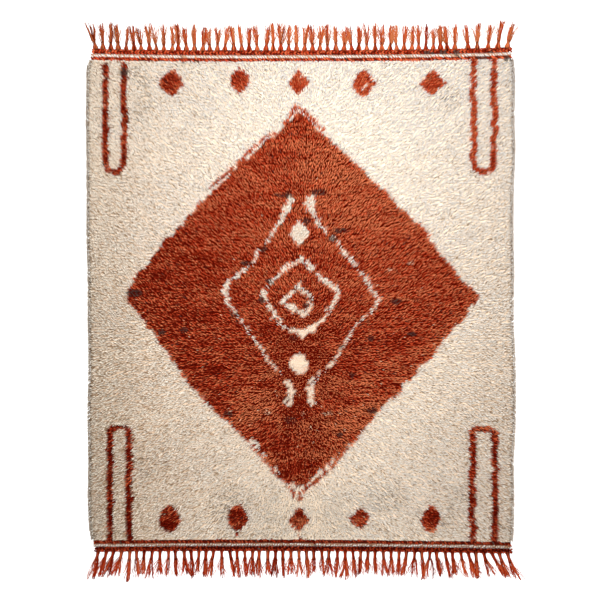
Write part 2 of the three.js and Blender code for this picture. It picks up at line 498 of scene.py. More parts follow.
def gap_shade_share(x, y):
    """How much painted shade the gaps between the tufts get, from 0 to 1: most at the lower end and the
    sides.
    """
    lower = lower_gap * ramp(y, 0.6, -0.6)
    left = left_gap * ramp(x, 0, -0.6) * (1 - left_gap_fade * np.abs(y))
    right = right_gap * ramp(x, 0, 1) ** 2 * (1 - right_gap_fade * ramp(y, 0, 1))
    return np.clip(least_gap + lower + left + right, 0, 1)


def painted_edge_shade(x, y):
    """How much light the painted shade along the left side, the middle of the lower end and the
    turned-down rims leaves, for places in metres.
    """
    shaded_left = ramp(x, -0.55, -0.72) * ramp(y, 1.15, -0.20)
    shaded_low = ramp(y, -0.62, -0.72) * ramp(np.abs(x), 0.32, 0.12)
    rim_light = 1 - rim_share(x, y) * np.where(x < 0, left_rim_shade, right_rim_shade)
    return rim_light * (1 - left_painted_shade * shaded_left - low_painted_shade * shaded_low)


def terracotta_shade(tone):
    """Terracotta of each tone: 0 is the plain colour, 1 the brightest and -1 the deepest."""
    color = blend(terracotta_wool, bright_terracotta, np.clip(tone, 0, 1))
    return blend(color, deep_terracotta, np.clip(-tone, 0, 1))


def cream_shade(x, y, inside, draw):
    """The colour of the cream knots, for places in metres. inside tells those in the lozenge."""
    count = len(x)
    gap = gap_shade_share(x, y)
    tan_share = draw.random(count) < tan_knots * gap
    tan_share = np.where(tan_share, draw.uniform(*tan_range, count), 0)
    tan_share = np.maximum(tan_share, inside * np.abs(draw.normal(0, figure_tan, count)))
    color = blend(cream_wool, aged_wool, age_at(x, y))
    color = np.where(inside[:, None], figure_wool, color)
    color = color * (1 + cream_unevenness * gap * draw.standard_normal(count))[:, None]
    color = blend(color, tan_wool, tan_share)
    grey_share = patch_share(x / mm, y / mm, grey_patches) * (draw.random(count) < grey_knots)
    return blend(color, grey_wool, greyness * grey_share)


def terracotta_tone(x, y, draw):
    """The tone of the terracotta knots, for places in millimetres, with painted shade on the left and
    along the long sides.
    """
    darker_left = ramp(x, -200, -500)
    calm_upper = ramp(y + 0.3 * x, 0, 500)
    darker_edge = ramp(np.abs(x), 550, 650)
    spread = tone_spread + left_tone_spread * darker_left - calm_tone_spread * calm_upper
    tone = draw.normal(mean_tone, spread, len(x))
    strength = 1 + lower_streaks * ramp(y, 0, -400)
    for streak in streaks:
        lift = mottle(x, y, streak["wide"], streak["tall"], streak["seed"])
        tone = tone + strength * streak["amount"] * lift
    for patch in dye_patches:
        tone = tone + patch["tone"] * patch_share(x, y, [patch])
    return tone - left_tone * darker_left - edge_tone * darker_edge


def with_strays(color, x, y, red, draw):
    """Puts in the dark knots and the stray cream ones, for places in millimetres."""
    count = len(x)
    dark_share = np.clip(dark_patch_strength * patch_share(x, y, dark_patches), 0, 1)
    dark_share = dark_share * (draw.random(count) < dark_patch_knots)
    dark_share = np.maximum(dark_share, red & (draw.random(count) < dark_knots))
    color = blend(color, dark_wool, darkness * dark_share)
    pale_share = patch_share(x, y, pale_patches) * (draw.random(count) < pale_patch_knots)
    color = blend(color, stray_wool, pale_share)
    share = stray_knots + lower_stray_knots * (y < lower_strays_below)
    stray = red & (draw.random(count) < share)
    return np.where(stray[:, None], stray_wool, color)


def wool_color(x, y, seed):
    """The wool's colour at each place in metres and that of its root, both with painted shade, and if
    it is terracotta.
    """
    draw = np.random.default_rng(seed)
    rim = rim_share(x, y)
    red = terracotta_at(x / mm, y / mm, draw)
    inside = outline_depth(x / mm, y / mm, lozenge) > 0
    cream = cream_shade(x, y, inside, draw)
    terracotta = terracotta_shade(terracotta_tone(x / mm, y / mm, draw))
    color = np.where(red[:, None], terracotta, blend(cream, tan_wool, rim_shade_tan * rim))
    color = with_strays(color, x / mm, y / mm, red, draw)
    gap = np.maximum(gap_shade_share(x, y), figure_gap * inside)
    # The roots get painted shade, darker where the gap shade is stronger and along the rims
    red_root = blend(close_root_light * terracotta, terracotta_root, ramp(gap, 0, 0.5))
    cream_root = blend(pale_root, dark_root_shade, np.maximum(gap, rim))
    root = np.where(red[:, None], red_root, cream_root)
    # Painted shade along the left side, the lower end and the rims dims the wool and its roots
    light = painted_edge_shade(x, y)[:, None]
    return color * light, root * light, red


def sheet_faces(rows, columns, first, flip):
    """The quads of a grid of rows by columns whose points start at index first."""
    index = first + np.arange(rows * columns).reshape(rows, columns)
    corners = [index[:-1, :-1], index[:-1, 1:], index[1:, 1:], index[1:, :-1]]
    quads = np.stack(corners, axis=-1).reshape(-1, 4)
    return quads[:, ::-1] if flip else quads


def under_stripes(x, y, color):
    """Colours the cloth below the end stripes with painted shade, which shows as dark gaps between
    their stitches.
    """
    light = np.where(y > 0, 1, lower_root_light)[:, None]
    in_red = (y > pile_end_y(x, upper_end)) | (y < pile_end_y(x, lower_end))
    in_cream = (y > seam_y(x, upper_end)) | (y < seam_y(x, lower_end))
    color = np.where(in_red[:, None], stripe_root * light, color)
    return np.where(in_cream[:, None], cream_stripe_root * light, color)


def weave_ground():
    """The ground as a closed sheet: an upper and a lower grid joined round the rim."""
    span = body_high.mean() - body_low.mean()
    end_rows = np.arange(stripe_rows) * stripe_row_pitch / span
    even_rows = np.linspace(end_rows[-1], 1 - end_rows[-1], ground_rows)
    rows = np.concatenate([end_rows[:-1], even_rows, 1 - end_rows[-2::-1]])
    across, along = np.meshgrid(np.linspace(0, 1, ground_columns), rows)
    y = body_low.mean() + span * along
    left = side_x(y, body_left, selvedge_inset)
    right = side_x(y, body_right, selvedge_inset)
    x = left + (right - left) * across
    low = end_y(x, body_low)
    high = end_y(x, body_high)
    y = low + (high - low) * along
    wave = ground_wave * mottle(x, y, *ground_patch, 31)
    upper = np.stack([x, y, ground_height - np.abs(wave)], axis=-1).reshape(-1, 3)
    lower = np.stack([x, y, np.zeros_like(x)], axis=-1).reshape(-1, 3)
    points = np.concatenate([upper, lower])
    index = np.arange(x.size).reshape(x.shape)
    rim = np.concatenate([index[0, :-1], index[:-1, -1], index[-1, :0:-1], index[:0:-1, 0]])
    next_rim = np.roll(rim, -1)
    walls = np.stack([rim, rim + x.size, next_rim + x.size, next_rim], axis=-1)
    upper_faces = sheet_faces(*x.shape, 0, flip=False)
    lower_faces = sheet_faces(*x.shape, x.size, flip=True)
    colors, roots, _ = wool_color(points[:, 0], points[:, 1], seed=41)
    # The ground's upper face takes the roots' painted shade
    colors[:x.size] = roots[:x.size]
    colors = under_stripes(points[:, 0], points[:, 1], colors)
    faces = np.concatenate([upper_faces, lower_faces, walls])
    return add_mesh("woven_ground", points, [faces], colors)


def set_inputs(node, values):
    for socket, value in values.items():
        node.inputs[socket].default_value = value


def wool_material(name, fibre_scale, bump):
    """Spun wool: the yarn's own colour, mottled and roughened by its fibres."""
    material = bpy.data.materials.new(name)
    material.use_nodes = True
    nodes = material.node_tree.nodes
    links = material.node_tree.links
    shader = nodes["Principled BSDF"]
    set_inputs(shader, {"Roughness": 0.95, "Specular IOR Level": 0})
    place = nodes.new("ShaderNodeTexCoord")
    fibres = nodes.new("ShaderNodeTexNoise")
    set_inputs(fibres, {"Scale": fibre_scale, "Detail": 3})
    links.new(place.outputs["Object"], fibres.inputs["Vector"])
    yarn = nodes.new("ShaderNodeAttribute")
    yarn.attribute_name = "wool_color"
    shade = nodes.new("ShaderNodeMapRange")
    set_inputs(shade, {"From Min": 0.3, "From Max": 0.7, "To Min": 0.82, "To Max": 1.16})
    links.new(fibres.outputs["Fac"], shade.inputs["Value"])
    tint = nodes.new("ShaderNodeVectorMath")
    tint.operation = "SCALE"
    links.new(yarn.outputs["Color"], tint.inputs[0])
    links.new(shade.outputs["Result"], tint.inputs["Scale"])
    links.new(tint.outputs["Vector"], shader.inputs["Base Color"])
    relief = nodes.new("ShaderNodeBump")
    set_inputs(relief, {"Strength": bump, "Distance": 0.6 * mm})
    links.new(fibres.outputs["Fac"], relief.inputs["Height"])
    links.new(relief.outputs["Normal"], shader.inputs["Normal"])
    return material


ground = weave_ground()
ground.data.materials.append(wool_material("ground_wool", fibre_scale=260, bump=0.5))
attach(ground, "root")
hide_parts("rug_body")


# Cut pile
# Every knot leaves two ends of soft hand-spun wool standing up from the ground. They are cut to about
# one depth, lean outwards from below the rug's middle and cover the weave. The pattern is knotted in.

knot_row_pitch = 9.8 * mm
knot_pitch = 5.1 * mm
knot_half_width = 1.3 * mm
knot_reach_x = 0.78
knot_reach_y = 0.88
# How far a knot strays from its place, as a share of the pitch, along its row and across it
knot_spread = 0.25
knot_row_spread = 0.42
tuft_length = 23 * mm
tuft_length_stray = 0.09
tuft_range = (0.8, 1.15)
tuft_radius = 1.5 * mm
tuft_radius_stray = 0.15
tuft_depth = 1.5 * mm
# How far the tufts lean, and how soon they lean so far upwards, downwards and sideways of the middle
nap_reach = 15 * mm
nap_middle = -0.20
nap_downwards = 0.5
upwards_rise = 4.5
downwards_rise = 3
sideways_rise = 5
half_width = 0.75
# The locks in which the tufts lean together
nap_patch = (0.040, 0.018)
lock_sideways = 0.6
lock_lengthwise = 0.2
# The most that a tuft leans over, as a share of its length, and how it bends on the way
longest_lean = 0.85
lean_curve = 1.25
# How far single tufts stray from the nap, and how much more in the lower part
tuft_stray = 1.7 * mm
lower_disorder = 0.8
disorder_reach = 0.3
tuft_levels = np.array([0, 0.66, 1])
# A tuft has the pattern's colour at the place that this share of it lies over
seen_height = 0.75
# How much darker its middle and lighter its tip are, as painted shade and painted highlight: more in
# terracotta tufts and where the gaps are painted darker
tuft_contrast = 0.27
red_contrast = 0.5
gap_contrast = 1.4
# Where the gaps are painted darkest, this share of the knots is short, thin and tinted with painted
# shade, and looks like a gap
gap_knots = 0.38
gap_knot_length = 0.93
gap_knot_thickness = 0.85
gap_shade_tint = np.array((0.40, 0.29, 0.19))
gap_shade_terracotta = 0.7
# A root's painted shade takes up the colour of its neighbours, as if lit by light thrown back from
# them. They lie so many times the tuft's lean away
root_probes = (-0.8, 0, 1.5)
mixed_root = np.array((0.46, 0.22, 0.12))
beside_cream_light = 0.8
# The rims: more tufts along both sides, and tips that stray a little past
pile_side_inset = 5 * mm
rim_tufts = 1600
rim_inset = 2 * mm
rim_fuzz = 2.5 * mm
pile_end_inset = 7 * mm
pile_end_wave = 1.5 * mm
pile_end_patch = 0.04
# The left side draws in by the taper over its last stretch before the upper end
corner_taper = 7 * mm
corner_reach = 35 * mm
pile_bands = 5
# Each yarn has a cell of its own in the texture map and leaves this share of it free on every side
uv_margin = 0.12


def spin(name, spines, radii, sides, colors, seed, flatness=1.0):
    """Joins many yarns in one mesh. Each follows its own spine and closes in a point at both ends."""
    count, levels, _ = spines.shape
    rings = levels - 2
    draw = np.random.default_rng(seed)
    heading = spines[:, 2:] - spines[:, :-2]
    heading /= np.linalg.norm(heading, axis=-1, keepdims=True)
    away = draw.standard_normal((count, 1, 3))
    first = np.cross(heading, away)
    first /= np.linalg.norm(first, axis=-1, keepdims=True)
    second = np.cross(heading, first)
    turn = np.arange(sides) / sides * math.tau
    ring = first[:, :, None] * np.cos(turn)[:, None] + second[:, :, None] * np.sin(turn)[:, None]
    ring = spines[:, 1:-1, None] + ring * radii[:, :, None, None] * np.array([1, 1, flatness])
    ring = ring.reshape(count, rings * sides, 3)
    points = np.concatenate([spines[:, :1], ring, spines[:, -1:]], axis=1)
    size = rings * sides + 2
    side = np.arange(sides)
    beside = (side + 1) % sides
    foot = np.stack([np.zeros_like(side), beside + 1, side + 1], axis=-1)
    top = 1 + (rings - 1) * sides
    tip = np.stack([np.full_like(side, size - 1), top + side, top + beside], axis=-1)
    start = (1 + np.arange(rings - 1) * sides)[:, None]
    above = start + sides
    quads = np.stack([start + side, start + beside, above + beside, above + side], axis=-1)
    offset = (np.arange(count) * size)[:, None, None]
    triangles = (offset + np.concatenate([foot, tip])).reshape(-1, 3)
    quads = (offset + quads.reshape(1, -1, 4)).reshape(-1, 4)
    ring_colors = np.repeat(colors[:, 1:-1], sides, axis=1)
    shades = np.concatenate([colors[:, :1], ring_colors, colors[:, -1:]], axis=1).reshape(-1, 3)
    cells = math.ceil(math.sqrt(count))
    cell = np.stack(np.divmod(np.arange(count), cells)[::-1], axis=-1) / cells
    height = np.linspace(0, 1, levels)
    foot_uv = np.array([(0.5, height[0]), (1, height[1]), (0, height[1])])
    tip_uv = np.array([(0.5, height[-1]), (0, height[-2]), (1, height[-2])])
    triangle_uv = np.concatenate([np.tile(foot_uv, (sides, 1)), np.tile(tip_uv, (sides, 1))])
    quad_uv = [
        [(0, height[n]), (1, height[n]), (1, height[n + 1]), (0, height[n + 1])] * sides
        for n in range(1, rings)
    ]
    quad_uv = np.array(quad_uv).reshape(-1, 2)
    uvs = np.concatenate([
        (cell[:, None] + (uv_margin + (1 - 2 * uv_margin) * block) / cells).reshape(-1, 2)
        for block in (triangle_uv, quad_uv)
    ])
    return add_mesh(name, points.reshape(-1, 3), [triangles, quads], shades, uvs)


def uneven(draw, spread, shape):
    """Random factors that stray from 1 by the spread."""
    return 1 + spread * draw.standard_normal(shape)


def tuft_places():
    """Where the yarn ends are rooted: two at every knot, and the knots in rows from side to side."""
    draw = np.random.default_rng(51)
    x = np.arange(-knot_reach_x, knot_reach_x, knot_pitch)
    y = np.arange(-knot_reach_y, knot_reach_y, knot_row_pitch)
    x, y = np.meshgrid(x, y)
    x[1::2] += knot_pitch / 2
    x = np.concatenate([x - knot_half_width, x + knot_half_width]).ravel()
    y = np.concatenate([y, y]).ravel()
    x = x + draw.uniform(-knot_spread, knot_spread, x.shape) * knot_pitch
    y = y + draw.uniform(-1, 1, y.shape) * knot_row_spread * knot_row_pitch
    left = side_x(y, body_left, pile_side_inset)
    right = side_x(y, body_right, pile_side_inset)
    keep = (x > left) & (x < right)
    side_y = draw.uniform(body_low.mean(), body_high.mean(), (2, rim_tufts))
    inset = draw.uniform(rim_inset, 2 * pile_side_inset, (2, rim_tufts))
    left = side_x(side_y[0], body_left, inset[0])
    right = side_x(side_y[1], body_right, inset[1])
    x = np.concatenate([x[keep], left, right])
    y = np.concatenate([y[keep], side_y[0], side_y[1]])
    low = pile_end_y(x, lower_end) + pile_end_inset
    high = pile_end_y(x, upper_end) - pile_end_inset
    keep = (y > low) & (y < high)
    return x[keep], y[keep]


def nap(x, y):
    """How far the pile leans at each place: outwards from the nap's middle, and in locks."""
    from_middle = y - nap_middle
    upper = np.tanh(upwards_rise * from_middle)
    lower = nap_downwards * np.tanh(downwards_rise * from_middle)
    lengthwise = np.where(from_middle > 0, upper, lower)
    lengthwise = lengthwise + lock_lengthwise * mottle(x, y, *nap_patch, 54)
    lock = lock_sideways * mottle(x, y, *nap_patch, 53)
    sideways = np.tanh(sideways_rise * x / half_width + lock)
    reach = nap_reach / np.maximum(np.hypot(sideways, lengthwise), 1)
    return reach * sideways, reach * lengthwise


def hold_within(x, y, lean_x, lean_y, fuzz):
    """Shortens the lean of the tufts that would reach too far past the sides or over the stripes."""
    wave = pile_end_wave * mottle(x, 0 * x, pile_end_patch, 1, 57)
    lowest = pile_end_y(x, lower_end) + wave - fuzz[2]
    highest = pile_end_y(x, upper_end) + wave + fuzz[3]
    taper = corner_taper * ramp(highest - y, corner_reach, 0)
    leftmost = side_x(y, body_left) + taper - fuzz[0]
    rightmost = side_x(y, body_right) + fuzz[1]
    lean_x = np.clip(lean_x, leftmost - x, rightmost - x)
    lean_y = np.clip(lean_y, lowest - y, highest - y)
    return lean_x, lean_y


def color_tufts(x, y, lean, gap_knot, draw):
    """The colours of every tuft: at its root and in its middle with painted shade, and at its tip with
    a painted highlight.
    """
    seen = seen_height ** lean_curve
    color, root, red = wool_color(x + lean[:, 0] * seen, y + lean[:, 1] * seen, seed=55)
    inside = outline_depth(x / mm, y / mm, lozenge) > 0
    in_figure = inside & ~red
    # The knots that stand for gaps are tinted with painted shade
    gap_knot_color = color * np.where(red[:, None], gap_shade_terracotta, gap_shade_tint)
    color = np.where((gap_knot & ~in_figure)[:, None], gap_knot_color, color)
    behind, below, ahead = [
        terracotta_at((x + probe * lean[:, 0]) / mm, (y + probe * lean[:, 1]) / mm, draw)
        for probe in root_probes
    ]
    beside_red = below | (behind | ahead) & ~inside
    beside_cream = ~below | ~behind | ~ahead
    root = np.where((red & beside_cream)[:, None], beside_cream_light * color, root)
    root = np.where((beside_red & ~red)[:, None], mixed_root, root)
    gap_darkness = np.maximum(gap_shade_share(x, y), figure_gap * in_figure)
    contrast = tuft_contrast * (np.where(red, red_contrast, 0) + gap_contrast * gap_darkness)[:, None]
    return np.stack([root, color * (1 - contrast), color * (1 + contrast)], axis=1)


def tie_pile():
    """All the tufts, in bands from the lower end to the upper one."""
    draw = np.random.default_rng(52)
    x, y = tuft_places()
    count = len(x)
    lean_x, lean_y = nap(x, y)
    stray = tuft_stray * (1 + lower_disorder * ramp(y, nap_middle, nap_middle - disorder_reach))
    lean_x = lean_x + stray * draw.standard_normal(count)
    lean_y = lean_y + stray * draw.standard_normal(count)
    gap_knot = draw.random(count) < gap_knots * gap_shade_share(x, y)
    length = tuft_length * np.clip(uneven(draw, tuft_length_stray, count), *tuft_range)
    length = length * np.where(gap_knot, gap_knot_length, 1)
    fuzz = rim_fuzz * draw.random((4, count))
    lean_x, lean_y = hold_within(x, y, lean_x, lean_y, fuzz)
    reach = np.minimum(np.hypot(lean_x, lean_y), longest_lean * length)
    scale = reach / np.hypot(lean_x, lean_y)
    lean = np.stack([lean_x * scale, lean_y * scale], axis=-1)
    rise = np.sqrt(length ** 2 - reach ** 2)
    spines = np.zeros((count, len(tuft_levels), 3))
    spines[:, :, 0] = x[:, None] + lean[:, :1] * tuft_levels ** lean_curve
    spines[:, :, 1] = y[:, None] + lean[:, 1:] * tuft_levels ** lean_curve
    spines[:, :, 2] = ground_height - tuft_depth + rise[:, None] * tuft_levels
    thickness = tuft_radius * uneven(draw, tuft_radius_stray, count)
    thickness = thickness * np.where(gap_knot, gap_knot_thickness, 1)
    colors = color_tufts(x, y, lean, gap_knot, draw)
    band = (np.argsort(np.argsort(y)) * pile_bands) // count
    wool = wool_material("pile_wool", fibre_scale=420, bump=0.35)
    pieces = []
    for number in range(pile_bands):
        chosen = band == number
        radii = thickness[chosen, None]
        piece = spin(f"pile_{number + 1}", spines[chosen], radii, 3, colors[chosen], 56 + number)
        piece.data.materials.append(wool)
        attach(piece, "root")
        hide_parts("rug_body")
        pieces.append(piece)
    return pieces


pile = tie_pile()


# End stripes
# Next to the pile, each short end has a terracotta stripe and then a cream one. Both are yarn wrapped
# slantwise round the warps in close rows, so they lie lower than the pile and look like fine rope.

# light dims each stripe's wool, and at the lower end also stands for painted shade; depth is how much
# of the stitches' painted shade it takes
stripe_plan = table("name end red pitch slant radius overlap wave ragged tone light depth", [
    ("red_stripe_upper", upper_end, True, 7.0, -0.85, 2.3, 1.5, 2.2, 2.6, -0.1, 0.80, 0.9),
    ("cream_stripe_upper", upper_end, False, 9.0, -0.8, 2.4, 1.25, 1.4, 0.9, 0.12, 0.93, 0.75),
    ("red_stripe_lower", lower_end, True, 7.0, -1.05, 2.4, 1.25, 1.8, 2.4, -0.35, 0.44, 0.9),
    ("cream_stripe_lower", lower_end, False, 8.5, 0.75, 2.5, 1.0, 1.4, 0.9, 0.35, 0.78, 0.8),
])
stripe_inset_left = 9 * mm
stripe_inset_right = 4 * mm
stripe_base = 3.2 * mm
stripe_lift = 2.6 * mm
stripe_wave_patch = 0.03
# A stitch is shorter than the row by so many of its radii, for its rounded ends
stitch_ends = 1.6
stitch_stray = dict(place=0.08, tilt=0.12, length=0.08, radius=0.1)
stitch_shares = np.array([-0.5, -0.4, 0, 0.4, 0.5])
stitch_thickness = np.array([0.8, 1.0, 0.8])
# Painted shade towards a stitch's ends, where it dives into the cloth, and a painted highlight on its
# crest
stitch_shade = np.array([0.15, 0.7, 1.2, 0.7, 0.15])
stitch_contrast = 0.75
brightest_stitch = 0.6
cream_contrast = 0.3
# The share of dark stitches, how far into a dark patch all of them are, and how dark they are
fleck_share = 0.015
fleck_patch = 0.3
fleck_darkness = 0.85


def evenly(first, last, pitch):
    """Places from first to last, as near to a pitch apart as comes out even."""
    return np.linspace(first, last, round((last - first) / pitch) + 1)


def stitch_row(x, y, slant, length, radius, base, lift, draw):
    """One row of slanted stitches: each rises out of the cloth, crosses the row and dives back in."""
    x = x + stitch_stray["place"] * length * draw.standard_normal(len(x))
    tilt = slant * uneven(draw, stitch_stray["tilt"], len(x))
    length = length * uneven(draw, stitch_stray["length"], len(x))
    spines = np.zeros((len(x), len(stitch_shares), 3))
    spines[:, :, 0] = x[:, None] + (length * np.cos(tilt))[:, None] * stitch_shares
    spines[:, :, 1] = y[:, None] + (length * np.sin(tilt))[:, None] * stitch_shares
    spines[:, :, 2] = base + lift * (1 - (2 * stitch_shares) ** 2)
    thickness = radius * uneven(draw, stitch_stray["radius"], len(x))
    return spines, thickness[:, None] * stitch_thickness


def finish_yarn(name, parts, sides, node_name, seed, flatness=1.0):
    """One piece from rows of yarn, each row its spines, radii and colours."""
    spines, radii, colors = [np.concatenate(column) for column in zip(*parts)]
    piece = spin(name, spines, radii, sides, colors, seed, flatness)
    piece.data.materials.append(yarn_wool)
    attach(piece, "root")
    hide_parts(node_name)
    return piece


def with_flecks(color, x, y, draw):
    """Darkens a few stitches, where darker natural wool was spun in."""
    dark = draw.random(len(color)) < fleck_share
    dark |= patch_share(x / mm, y / mm, dark_patches) > fleck_patch
    return blend(color, dark_wool, fleck_darkness * dark)


def stitch_shades(tone, count, draw):
    """Terracotta stitches that vary about a tone, none of them much brighter."""
    tones = draw.normal(tone, stitch_contrast, count)
    return terracotta_shade(np.minimum(tones, tone + brightest_stitch))


def wrap_stripe(plan, seed):
    """One stripe, between the pile and the seam or between the seam and the cloth's end."""
    draw = np.random.default_rng(seed)
    end = plan["end"]
    x_left = side_x(end["edge"][0], body_left, stripe_inset_left)
    x_right = side_x(end["edge"][0], body_right, stripe_inset_right)
    x = evenly(x_left, x_right, plan["pitch"] * mm)
    inner = pile_end_y(x, end) if plan["red"] else seam_y(x, end)
    outer = seam_y(x, end) if plan["red"] else end_y(x, end["edge"])
    radius = plan["radius"] * mm
    wave = plan["wave"] * mm * mottle(x, 0 * x, stripe_wave_patch, 1, seed)
    wave = wave + plan["ragged"] * mm * draw.standard_normal(len(x))
    length = np.abs(outer - inner) * plan["overlap"] - stitch_ends * radius
    length = length / math.sin(abs(plan["slant"]))
    middle = (inner + outer) / 2
    spines, radii = stitch_row(
        x, middle + wave, plan["slant"], length, radius, stripe_base, stripe_lift, draw,
    )
    if plan["red"]:
        color = stitch_shades(plan["tone"], len(x), draw)
    else:
        tan_share = np.clip(draw.normal(plan["tone"], cream_contrast, len(x)), 0, 1)
        color = blend(cream_wool, tan_wool, tan_share)
    color = with_flecks(plan["light"] * color, x, middle, draw)
    shade = 1 - plan["depth"] * (1 - stitch_shade)
    part = (spines, radii, color[:, None] * shade[:, None])
    return finish_yarn(plan["name"], [part], 6, "rug_body", seed + 1)


yarn_wool = wool_material("yarn_wool", fibre_scale=500, bump=0.4)
stripes = [wrap_stripe(plan, 70 + 3 * number) for number, plan in enumerate(stripe_plan)]


# Heading cords
# A thick terracotta cord is twined across the ends of the warps, over one and under the next, and
# locks the weave. Its two yarns lie in slanted stitches that meet in a row of small chevrons.

heading_core_radius = 6.4 * mm
heading_core_height = 3.6 * mm
heading_core_levels = 26
heading_core_inset = 7 * mm
heading_tip_inset = 4 * mm
heading_flatness = 0.55
heading_pitch = 11.5 * mm
heading_stitch = 14 * mm
heading_slant = 0.55
heading_row_offset = 3.0 * mm
heading_radius = 3.0 * mm
# The core shows only between the stitches and is painted dark as their shade
heading_core_light = 0.15
heading_base = 4.6 * mm
heading_lift = 2.2 * mm
heading_end = 3 * mm


def node_middle(node_name):
    """The middle line of a heading cord's CAD node, halfway between its two long faces."""
    inner = edge_line(node_name, end_stations, axis=1, side=-1)
    outer = edge_line(node_name, end_stations, axis=1, side=1)
    return (inner + outer) / 2


def twine_heading(node_name, tone, light, seed):
    """A heading cord in two pieces: its flattened core, and the twined yarn that covers it."""
    draw = np.random.default_rng(seed)
    middle = node_middle(node_name)
    low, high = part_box(node_name)
    first = low[0] + heading_core_inset
    last = high[0] - heading_core_inset
    inner_x = np.linspace(first, last, heading_core_levels)
    x = np.concatenate([[low[0] + heading_tip_inset], inner_x, [high[0] - heading_tip_inset]])
    y = np.interp(x, end_stations, middle)
    spine = np.stack([x, y, np.full(len(x), heading_core_height)], axis=-1)
    radii = np.full((1, heading_core_levels), heading_core_radius)
    color = heading_core_light * light * terracotta_shade(np.array([tone]))
    strand = (spine[None], radii, np.tile(color, (len(x), 1))[None])
    core = finish_yarn(
        f"core_{node_name}", [strand], 10, node_name, seed + 1, heading_flatness,
    )
    parts = []
    for row in (-1, 1):
        x = evenly(low[0] + heading_end, high[0] - heading_end, heading_pitch)
        y = np.interp(x, end_stations, middle) + row * heading_row_offset
        spines, radii = stitch_row(
            x, y, row * heading_slant, heading_stitch, heading_radius, heading_base, heading_lift, draw,
        )
        color = with_flecks(light * stitch_shades(tone, len(x), draw), x, y, draw)
        parts.append((spines, radii, color[:, None] * stitch_shade[:, None]))
    cord = finish_yarn(f"twined_{node_name}", parts, 6, node_name, seed + 2)
    return [core, cord]


headings = twine_heading("heading_cord_upper", tone=-0.2, light=0.68, seed=91)
headings += twine_heading("heading_cord_lower", tone=-0.55, light=0.30, seed=94)


# Tassel fringes
# Bundles of terracotta yarn are looped into each heading cord. Those of the upper end are knotted close
# to it and spread above the knot, and those of the lower end lie together as thick soft strands.

# bulb is the knot itself, as pairs of how far out it lies from the heading cord and its half width.
# locks says how often a tassel lies in one, two or three locks, whose tips are apart by the spread.
# bulb_shade paints shade along each knot, darkest at its foot, and a painted highlight where it passes
# 1
upper_fringe = dict(
    name="tassels_upper", node="tassel_fringe_upper", heading="heading_cord_upper", side=1,
    runs=table("first last count", [(-722, -267, 18), (-236, 260, 19), (286, 542, 11), (589, 723, 5)]),
    length=98, lean_left=-12, lean_right=12, lean_from=600, lean_full=680, lean_stray=8,
    bulb=[(-4, 1.0), (1, 7.0), (6, 8.8), (11, 8.2), (16, 5.4), (22, 4.0), (32, 2.5)],
    bulb_shade=[0.15, 0.3, 1.0, 1.2, 1.0, 0.75, 0.7],
    yarns=20, fullest=1.0, emptiest=0.35, neck=4.6, locks=[0.35, 0.4, 0.25], spread=11, lock_stray=3,
    wisps=20, tone=0.25, light=0.64, left_light=0.62, root_light=0.8, tint=(1, 0.96, 0.84), orange=0.5,
)
lower_fringe = dict(
    name="tassels_lower", node="tassel_fringe_lower", heading="heading_cord_lower", side=-1,
    runs=table("first last count", [(-712, 723, 54)]),
    length=99, lean_left=-30, lean_right=32, lean_from=500, lean_full=660, lean_stray=8,
    bulb=[(-4, 2.0), (2, 8.5), (6, 6.0), (12, 4.8), (20, 4.4), (29, 4.2), (39, 3.0)],
    bulb_shade=[0.2, 0.35, 0.6, 0.8, 0.8, 0.7, 0.6],
    yarns=22, fullest=1.0, emptiest=0.5, neck=5.4, locks=[0.2, 0.45, 0.35], spread=13, lock_stray=4.5,
    wisps=18, tone=-0.05, light=0.55, left_light=0.95, root_light=0.7, tint=(1, 0.72, 0.6), orange=0.1,
)
loop_row_out = 1.5 * mm
loop_pitch = 8.5 * mm
loop_length = 13 * mm
loop_inset = 4 * mm
loop_tone = -0.4
loop_slant = 0.35
loop_radius = 3.1 * mm
loop_light = 0.9
# How a tassel bends as it leans, and the share of its length at which the lean stops growing
lean_bend = 1.2
lean_limit = 1.2
bulb_flatness = 0.6
bulb_height = 5.4 * mm
wraps = 7
wrap_radius = 1.7 * mm
wrap_reach = 0.95
wrap_stray = 0.12
# The yarns on the sides of a knot, up to this share of its height, lie in the shade
side_wraps = 0.5
side_wrap_light = 0.45
# How the tassels differ: their places, lengths and tones, the sizes of their knots, and their locks
foot_stray = 1.2 * mm
length_stray = 0.06
tone_stray = 0.15
smallest_knot = 0.7
knot_growth = 0.35
corner_fullness = 0.9
spread_range = (0.5, 1.2)
bend_range = (0.7, 1.8)
bundle_looseness = 1.1
# The light grows from the left end of a fringe to this share of the way out from its middle
left_light_reach = 0.4
# The yarns that make up a tassel, and the wisps that stray from it. lean is how many times the
# tassel's own lean they take, and shortest the share of its length that they reach at least.
yarn_kind = dict(radius=1.2, stray=0.8, lean=1.0, shortest=0.78, sway=1.8, is_wisp=False)
wisp_kind = dict(radius=0.75, stray=11, lean=1.2, shortest=0.6, sway=4.5, is_wisp=True)
orange_wool = np.array((0.75, 0.34, 0.16))
yarn_contrast = 0.75
# The loose yarns start at this row of the bulb and thin out towards their tips
start_row = -3
free_levels = np.array([0, 0.2, 0.4, 0.6, 0.8, 0.96, 1])
free_taper = np.array([1.0, 1.0, 1.0, 1.0, 0.8])
free_radius_stray = 0.15
# How high they lie on their way, and how far they stack below and above that, in bundles
free_heights = dict(share=[0, 0.3, 1], height=[5.0, 3.6, 2.4])
stack_range = (-0.3, 0.7)
floor_gap = 0.2 * mm
# How soon they spread to the bundle's width, how differently they fan out, and how they sway
bundle_opening = 0.7
fan_range = (0.85, 1.15)
sway_turn = 5
# The shade of the knot reaches so far along them
root_shade_reach = 0.6
heading_half = 6.5 * mm


def tassel_feet(fringe):
    feet = [np.linspace(run["first"], run["last"], run["count"]) for run in fringe["runs"]]
    return np.concatenate(feet) * mm


